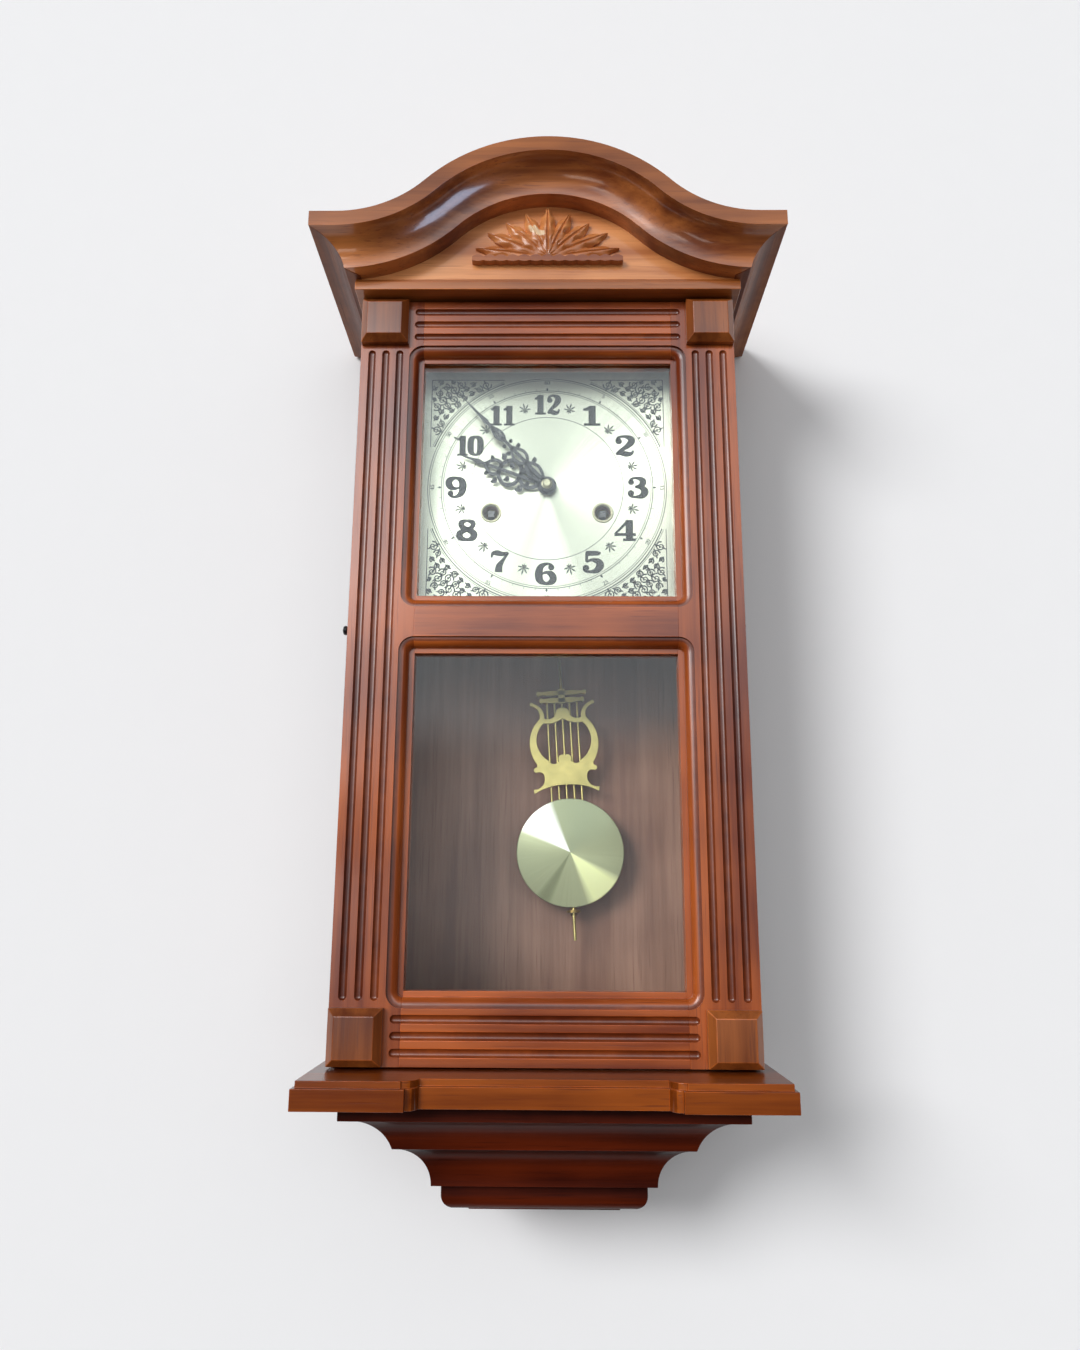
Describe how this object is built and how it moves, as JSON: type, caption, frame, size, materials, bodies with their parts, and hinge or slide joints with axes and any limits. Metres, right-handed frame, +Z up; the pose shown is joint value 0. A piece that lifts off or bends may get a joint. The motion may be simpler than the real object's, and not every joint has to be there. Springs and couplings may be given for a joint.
{
  "type": "wall pendulum clock",
  "caption": "Wall-hung wooden clock with a serpentine crown, one glazed door, a square dial with hands, a striking spring movement and a lyre pendulum.",
  "frame": {"origin": "middle of the hanger plate's hole, in the plane of the wall", "axes": "+Z up, +Y back into the wall, +X to the right seen from the front"},
  "size_m": [0.284, 0.148, 0.616],
  "materials": {
    "door_wood": "red-brown stained wood under gloss lacquer",
    "block_wood": "red-brown stained wood under gloss lacquer",
    "case_wood": "dark red-brown stained wood under gloss lacquer",
    "crown_wood": "orange-brown stained wood under gloss lacquer",
    "carved_wood": "carved orange-brown stained wood",
    "shelf_wood": "orange-brown stained wood under gloss lacquer",
    "drop_wood": "dark red-brown stained wood under gloss lacquer",
    "panel_wood": "plain brown board",
    "glass": "clear window glass",
    "dial_metal": "silvered sunburst-brushed sheet with black print",
    "black_steel": "black lacquered steel",
    "brass": "machined brass",
    "lyre_brass": "stamped brass",
    "bob_brass": "sunburst-brushed pale brass",
    "steel": "plain steel",
    "dark_iron": "cast iron and ferrite"
  },
  "bodies": {
    "case": {"case_side_left": "case_wood", "case_side_right": "case_wood", "back_board": "panel_wood", "top_board": "case_wood", "hanger_plate": "steel", "tympanum": "crown_wood", "frieze_strip": "crown_wood", "side_cornices": "case_wood", "cornice_front": "crown_wood", "leaf_carving": "carved_wood", "shelf": "shelf_wood", "drop_upper": "drop_wood", "drop_middle": "drop_wood", "drop_lower": "drop_wood", "hinge_case_leaves": "brass", "hinge_pins": "steel", "dial_plate": "dial_metal", "dial_board": "panel_wood", "inner_battens": "panel_wood", "front_plate": "brass", "back_plate": "brass", "pillars": "steel", "mainsprings": "steel", "gong_rods": "steel", "gong_block": "dark_iron", "catch_magnet": "dark_iron", "case_screws": "steel"},
    "door": {"door_stile_left": "door_wood", "door_stile_right": "door_wood", "door_top_rail": "door_wood", "door_mid_rail": "door_wood", "door_bottom_rail": "door_wood", "corner_blocks": "block_wood", "glass_upper": "glass", "glass_lower": "glass", "glazing_strips": "door_wood", "door_knob": "black_steel", "hinge_door_leaves": "brass", "door_screws": "steel"},
    "minute_arbor": {"centre_wheel": "brass", "minute_hand": "black_steel", "hand_nut": "brass"},
    "hour_pipe": {"hour_wheel": "brass", "hour_hand": "black_steel"},
    "minute_wheel": {"minute_wheel": "brass"},
    "third_arbor": {"third_wheel": "brass"},
    "escape_arbor": {"escape_wheel": "brass"},
    "going_barrel": {"going_barrel": "brass"},
    "going_winding": {"going_winding_arbor": "steel"},
    "anchor": {"anchor": "steel"},
    "pendulum": {"suspension_spring": "steel", "pendulum_rod": "brass", "lyre": "lyre_brass", "bob": "bob_brass"},
    "rating_nut": {"rating_nut": "brass"},
    "strike_barrel": {"strike_barrel": "brass"},
    "strike_winding": {"strike_winding_arbor": "steel"},
    "pin_wheel": {"pin_wheel": "brass"},
    "fly": {"fly": "brass"},
    "hammer": {"hammer": "steel"}
  },
  "joints": [
    {"name": "door_swing", "type": "hinge", "parent": "case", "child": "door", "pos_m": [0.1172, -0.0872, -0.22], "axis": [0, 0, 1], "range_deg": [0, 110]},
    {"name": "minute_turn", "type": "hinge", "parent": "case", "child": "minute_arbor", "pos_m": [0, -0.046, -0.1055], "axis": [0, 1, 0], "continuous": true},
    {"name": "hour_turn", "type": "hinge", "parent": "case", "child": "hour_pipe", "pos_m": [0, -0.046, -0.1055], "axis": [0, 1, 0], "continuous": true},
    {"name": "minute_wheel_turn", "type": "hinge", "parent": "case", "child": "minute_wheel", "pos_m": [0, -0.046, -0.1175], "axis": [0, 1, 0], "continuous": true},
    {"name": "third_turn", "type": "hinge", "parent": "case", "child": "third_arbor", "pos_m": [0.01424, -0.046, -0.08618], "axis": [0, 1, 0], "continuous": true},
    {"name": "escape_turn", "type": "hinge", "parent": "case", "child": "escape_arbor", "pos_m": [0, -0.046, -0.0705], "axis": [0, 1, 0], "continuous": true},
    {"name": "going_barrel_turn", "type": "hinge", "parent": "case", "child": "going_barrel", "pos_m": [0.035, -0.046, -0.1225], "axis": [0, 1, 0], "continuous": true},
    {"name": "going_winding_turn", "type": "hinge", "parent": "case", "child": "going_winding", "pos_m": [0.035, -0.046, -0.1225], "axis": [0, 1, 0], "continuous": true},
    {"name": "pendulum_swing", "type": "hinge", "parent": "case", "child": "pendulum", "pos_m": [0, -0.02, -0.0535], "axis": [0, 1, 0], "range_deg": [-2.3, 8.7]},
    {"name": "anchor_rock", "type": "hinge", "parent": "case", "child": "anchor", "pos_m": [0, -0.046, -0.0535], "axis": [0, 1, 0], "range_deg": [-2.3, 8.7]},
    {"name": "rating_nut_turn", "type": "hinge", "parent": "pendulum", "child": "rating_nut", "pos_m": [0.01745, -0.0184, -0.36571], "axis": [-0.0558, 0, 0.9984], "continuous": true},
    {"name": "strike_barrel_turn", "type": "hinge", "parent": "case", "child": "strike_barrel", "pos_m": [-0.035, -0.046, -0.1225], "axis": [0, 1, 0], "continuous": true},
    {"name": "strike_winding_turn", "type": "hinge", "parent": "case", "child": "strike_winding", "pos_m": [-0.035, -0.046, -0.1225], "axis": [0, 1, 0], "continuous": true},
    {"name": "pin_wheel_turn", "type": "hinge", "parent": "case", "child": "pin_wheel", "pos_m": [-0.0203, -0.046, -0.0865], "axis": [0, 1, 0], "continuous": true},
    {"name": "fly_turn", "type": "hinge", "parent": "case", "child": "fly", "pos_m": [-0.0253, -0.046, -0.07025], "axis": [0, 1, 0], "continuous": true},
    {"name": "hammer_lift", "type": "hinge", "parent": "case", "child": "hammer", "pos_m": [-0.062, -0.046, -0.0835], "axis": [0, 1, 0], "range_deg": [-12, 0], "stiffness_Nm_per_rad": 0.02, "springref_deg": 5.73}
  ],
  "couplings": [
    {"joint": "hour_turn", "follows": "minute_turn", "ratio": 0.083333},
    {"joint": "minute_wheel_turn", "follows": "minute_turn", "ratio": -0.33333},
    {"joint": "third_turn", "follows": "minute_turn", "ratio": -9},
    {"joint": "escape_turn", "follows": "minute_turn", "ratio": 90},
    {"joint": "going_barrel_turn", "follows": "minute_turn", "ratio": -0.083333},
    {"joint": "anchor_rock", "follows": "pendulum_swing", "ratio": 1},
    {"joint": "pin_wheel_turn", "follows": "strike_barrel_turn", "ratio": -12},
    {"joint": "fly_turn", "follows": "strike_barrel_turn", "ratio": 90}
  ]
}
